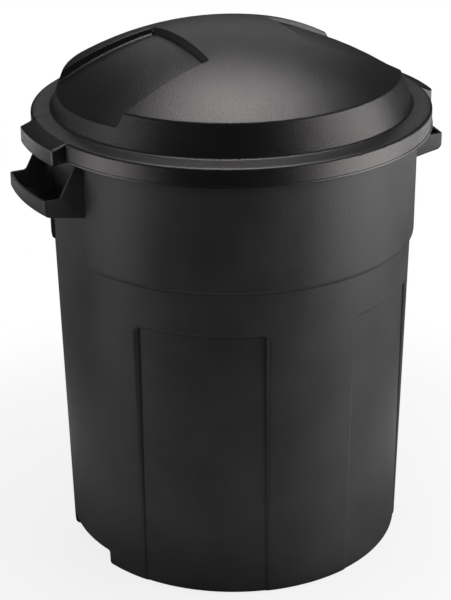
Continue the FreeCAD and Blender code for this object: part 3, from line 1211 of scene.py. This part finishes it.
    def bearing(self, line: float, radius: np.ndarray) -> np.ndarray:
        """Angle from the X axis of points at their radii on a side column.

        Args:
            line: Y of the column at the grip. Columns over the tabs keep it, those at the pocket's side spread.
            radius: radii of the points.

        Returns:
            One angle for each radius.
        """
        start = abs(line)
        leaning = smooth_step(np.array(start), self.tab_half + 5, self.pocket_half - 9)
        spread = self.spread * float(leaning)
        lean = self.grip_half + start * spread
        gone = radius ** 2 - self.grip_half ** 2 - start ** 2
        ahead = (np.sqrt(lean ** 2 + (1 + spread ** 2) * np.maximum(gone, 0)) - lean) / (1 + spread ** 2)
        return math.copysign(1, line) * np.arcsin(np.clip((start + spread * ahead) / radius, -1, 1))

    def heading(self, kind: tuple[Sector, float], radius: np.ndarray) -> np.ndarray:
        """Angle about the axis of a column's points.

        Args:
            kind: the column's sector and place there.
            radius: radii of the points.

        Returns:
            One angle for each radius.
        """
        sector, value = kind
        if sector is Sector.RIGHT:
            return self.bearing(value, radius)
        if sector is Sector.LEFT:
            return math.pi - self.bearing(value, radius)
        edge = self.bearing(self.pocket_half, radius)
        base = edge + value * (math.pi - 2 * edge)
        return base if sector is Sector.BACK else base + math.pi

    def column(self, start: np.ndarray, kind: tuple[Sector, float]) -> np.ndarray:
        """One column, out over the dome, down the cone wall, round the skirt and back under the dome.

        Args:
            start: its first place seen from above.
            kind: its sector and place there.

        Returns:
            (n, 3) array of points.
        """
        radius = np.array([self.shoulder_radius])
        angle = self.heading(kind, radius)
        across, along = radius * np.cos(angle), radius * np.sin(angle)
        over, under = (self.shoulder(float(self.sunk(across, along, skin)[0]), skin)
                       for skin in (0.0, self.wall))
        line = kind[1] if kind[0] in (Sector.RIGHT, Sector.LEFT) else self.pocket_half
        rim = np.concatenate([over, self.brim_at(line), under[::-1]])
        angle = self.heading(kind, rim[:, 0])
        around = np.stack([rim[:, 0] * np.cos(angle), rim[:, 0] * np.sin(angle), rim[:, 1]], axis=1)
        share = growing_steps(1.0, self.first_step / self.dome_run, self.dome_steps)[:-1, None]
        faces = []
        for skin, last in ((0.0, around[0]), (self.wall, around[-1])):
            flat = start + (last[:2] - start) * share
            faces.append(np.column_stack([flat, self.dome_z(flat[:, 0], flat[:, 1], skin)]))
        return np.concatenate([faces[0], around, faces[1][::-1]])

    def build(self, finish: bpy.types.Material) -> bpy.types.Object:
        """Joins the columns all round with the middle rectangle on both faces of the lid.

        Args:
            finish: the lid's material.

        Returns:
            The piece.
        """
        ring = np.stack([self.column(start, kind) for start, kind in zip(*self.ring_columns())], axis=1)
        rows, count = ring.shape[:2]
        points = [ring.reshape(-1, 3)]
        faces = grid_faces(rows, count, False, True)
        lines, steps = self.lines(), self.edge_steps()
        across, along = np.meshgrid(steps, lines)
        wide, deep = len(steps), len(lines)
        total = rows * count
        for skin, first in ((0.0, 0), (self.wall, (rows - 1) * count)):
            spots = np.stack([across, along, self.dome_z(across, along, skin)], axis=-1)
            points.append(spots[1:-1, 1:-1].reshape(-1, 3))
            number = np.full((deep, wide), -1)
            number[1:-1, 1:-1] = total + np.arange((deep - 2) * (wide - 2)).reshape(deep - 2, wide - 2)
            number[:, -1] = first + np.arange(deep)
            number[-1, 1:-1] = (first + deep + np.arange(wide - 2))[::-1]
            number[:, 0] = (first + deep + wide - 2 + np.arange(deep))[::-1]
            number[0, 1:-1] = first + 2 * deep + wide - 2 + np.arange(wide - 2)
            quads = np.stack([number[:-1, :-1], number[:-1, 1:], number[1:, 1:], number[1:, :-1]], axis=-1)
            faces += [tuple(quad) for quad in quads.reshape(-1, 4).tolist()]
            total += len(points[-1])
        return placed("lid_moulding", closed_mesh("lid_moulding", np.concatenate(points), faces), finish)


@dataclass(frozen=True)
class SoftBox:
    """A soft box that points at the can's axis.

    Its azimuth is in degrees from the camera's side, positive to the camera's right, its power in watts and
    the rest in millimetres.
    """

    name: str
    azimuth: float
    distance: float
    height: float
    size: tuple[float, float]
    power: float
    aim: float
    in_gloss: bool = True

    def build(self, camera_azimuth: float) -> None:
        """Adds the lamp to the scene.

        Args:
            camera_azimuth: how far left of the can's front the camera stands, in degrees.
        """
        data = bpy.data.lights.new(self.name, "AREA")
        data.shape = "RECTANGLE"
        data.size, data.size_y = self.size[0] * MM, self.size[1] * MM
        data.energy = self.power
        turn = math.radians(FRONT_ANGLE - camera_azimuth + self.azimuth)
        spot = Vector((math.cos(turn) * self.distance, math.sin(turn) * self.distance, self.height)) * MM
        box = in_scene(self.name, data)
        box.visible_camera = False
        box.visible_glossy = self.in_gloss
        box.location = spot
        box.rotation_euler = (Vector((0, 0, self.aim * MM)) - spot).to_track_quat("-Z", "Y").to_euler()


@dataclass
class Studio:
    """Pale floor, soft light and the camera at the photograph's viewing angle."""

    azimuth: float = 26.0
    distance: float = 2171.7
    height: float = 1255.3
    aim_z: float = 300.5
    aim_side: float = -9.2
    roll: float = -0.0094
    lens: float = 113.557
    floor_half: float = 15000.0
    floor_grey: float = 0.1
    # painted light: the tone of a bright floor ring round the can, seen only in gloss and bounce; where it
    # starts and ends follows below
    painted_ring_grey: float = 0.75
    floor_white: float = 0.95
    painted_ring_start: float = 240.0
    painted_ring_end: float = 650.0
    floor_glow: float = 0.82
    bright_from: float = 400.0
    bright_to: float = 700.0
    surround: float = 0.02
    mirrored: float = 0.015
    boxes: tuple[SoftBox, ...] = (
        SoftBox("left_box", -68, 1250, 400, (700, 800), 4.5, 300),
        SoftBox("right_box", 76, 1200, 480, (1200, 960), 13.5, 400),
        SoftBox("top_box", 172, 250, 2100, (1150, 1150), 17.6, 500),
        SoftBox("back_box", 180, 2200, 1500, (1600, 600), 2.2, 600),
        SoftBox("left_sweep", -126, 1750, 130, (1000, 260), 1.6, 300),
        SoftBox("right_sweep", 126, 1750, 130, (1000, 260), 2.0, 300),
        SoftBox("left_glow", -105, 1500, 900, (700, 700), 0.5, 500),
        SoftBox("front_fill", -15, 1500, 1500, (900, 900), 4, 500, in_gloss=False),
    )

    def seen(self, tree: bpy.types.NodeTree) -> Field:
        """How much of the white studio a ray sees.

        Args:
            tree: the nodes of floor or world.

        Returns:
            All of it for the camera and through glass, some in gloss.
        """
        ray = add_node(tree, "ShaderNodeLightPath")
        direct = Field(ray.outputs["Is Camera Ray"]).most(Field(ray.outputs["Is Transmission Ray"]))
        return direct.most(Field(ray.outputs["Is Glossy Ray"]) * self.mirrored)

    def camera(self) -> None:
        """Makes the camera and gives it to the scene."""
        turn = math.radians(self.azimuth)
        spot = Vector((-math.sin(turn) * self.distance, -math.cos(turn) * self.distance, self.height)) * MM
        aim = Vector((math.cos(turn) * self.aim_side, -math.sin(turn) * self.aim_side, self.aim_z)) * MM
        look = (aim - spot).normalized()
        right = look.cross(Vector((0, 0, 1))).normalized()
        up = right.cross(look)
        tilted = right * math.cos(self.roll) + up * math.sin(self.roll)
        upright = up * math.cos(self.roll) - right * math.sin(self.roll)
        data = bpy.data.cameras.new("camera")
        data.lens = self.lens
        data.sensor_width = 36.0
        data.sensor_fit = "AUTO"
        eye = in_scene("camera", data)
        facing = Matrix((tilted, upright, -look)).transposed().to_4x4()
        facing.translation = spot
        eye.matrix_world = facing
        bpy.context.scene.camera = eye

    def floor_paint(self) -> bpy.types.Material:
        """The floor's material: white to the camera with the object's shadow, grey to other rays, with a
        painted light ring round the can that paints light lines on the can's lower edges.

        Returns:
            The material.
        """
        paint = bpy.data.materials.new("pale_floor")
        paint.use_nodes = True
        tree = paint.node_tree
        tree.nodes.clear()
        seen = self.seen(tree)
        place = add_node(tree, "ShaderNodeTexCoord").outputs["Object"]
        length = add_node(tree, "ShaderNodeVectorMath", {0: place}, operation="LENGTH")
        reach = Field(length.outputs["Value"])
        bright = self.bright_from * MM
        away = reach.ramp(bright, self.bright_to * MM)
        # painted light: a brighter ring of floor round the can, seen only in gloss and bounce, whose reflection
        # paints light lines on the can's downward-facing edges; it starts a little out from the foot, so that
        # the floor there stays dark as painted contact shade
        ring = reach.ramp(self.painted_ring_start * MM, bright) - reach.ramp(bright, self.painted_ring_end * MM)
        tone = ring * (self.painted_ring_grey - self.floor_grey) + self.floor_grey
        tone = tone + (tone - self.floor_white) * seen * -1.0
        glowing = seen * (away * (1 - self.floor_glow) + self.floor_glow)
        matt = add_node(tree, "ShaderNodeBsdfDiffuse", {"Color": tone}).outputs[0]
        glow = add_node(tree, "ShaderNodeEmission").outputs[0]
        mix = add_node(tree, "ShaderNodeMixShader", {0: glowing, 1: matt, 2: glow})
        add_node(tree, "ShaderNodeOutputMaterial", {"Surface": mix.outputs[0]})
        return paint

    def floor(self) -> None:
        """Lays the pale floor."""
        edge = self.floor_half * MM
        corners = [(-edge, -edge, 0), (edge, -edge, 0), (edge, edge, 0), (-edge, edge, 0)]
        mesh = bpy.data.meshes.new("floor")
        mesh.from_pydata(corners, [], [(0, 1, 2, 3)])
        mesh.materials.append(self.floor_paint())
        floor = in_scene("floor", mesh)

    def world(self) -> None:
        """White surroundings for the camera and soft even light for everything else."""
        world = bpy.data.worlds.new("studio")
        world.use_nodes = True
        tree = world.node_tree
        tree.nodes.clear()
        shares = {0: self.seen(tree)}
        for key, strength in ((1, self.surround), (2, 1.0)):
            inputs = {"Color": (1, 1, 1, 1), "Strength": strength}
            shares[key] = add_node(tree, "ShaderNodeBackground", inputs).outputs[0]
        mix = add_node(tree, "ShaderNodeMixShader", shares)
        add_node(tree, "ShaderNodeOutputWorld", {"Surface": mix.outputs[0]})
        bpy.context.scene.world = world

    def build(self) -> None:
        """Sets up the whole studio."""
        bpy.context.scene.view_settings.view_transform = "Standard"
        self.camera()
        self.floor()
        self.world()
        for box in self.boxes:
            box.build(self.azimuth)


def main() -> None:
    """Builds the studio and the pieces in order and reports each of them."""
    logging.basicConfig(level=logging.INFO, format="%(name)s: %(message)s")
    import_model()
    Studio().build()

    can_black = BlackPlastic(
        "black_satin_plastic", tint=(0.0320, 0.0320, 0.0326), roughness=0.47, grain=Grain.SATIN,
        grain_size=1.6, grain_depth=0.22, shine=0.45).material()
    lid_black = BlackPlastic(
        "black_pebbled_plastic", tint=(0.0032, 0.0031, 0.0030), roughness=0.36, grain=Grain.PEBBLED,
        grain_size=1.05, grain_depth=0.42, shine=0.84, gloss=(1.0, 0.95, 0.94)).material()

    pieces = [(Can().build(can_black), "can", "can_plastic", "can_body")]
    for side in Side:
        handle = ScoopHandle(side).build(can_black)
        pieces.append((handle, "can", "can_plastic", f"{side.name.lower()}_handle"))
    pieces.append((Lid().build(lid_black), "lid", "lid_plastic", "lid"))
    for piece, body, slot, node in pieces:
        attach(piece, body)
        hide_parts(node)
        LOG.info("%s: %d faces, rides %s, stands for %s", piece.name, len(piece.data.polygons), body, node)


if __name__ == "__main__":
    main()
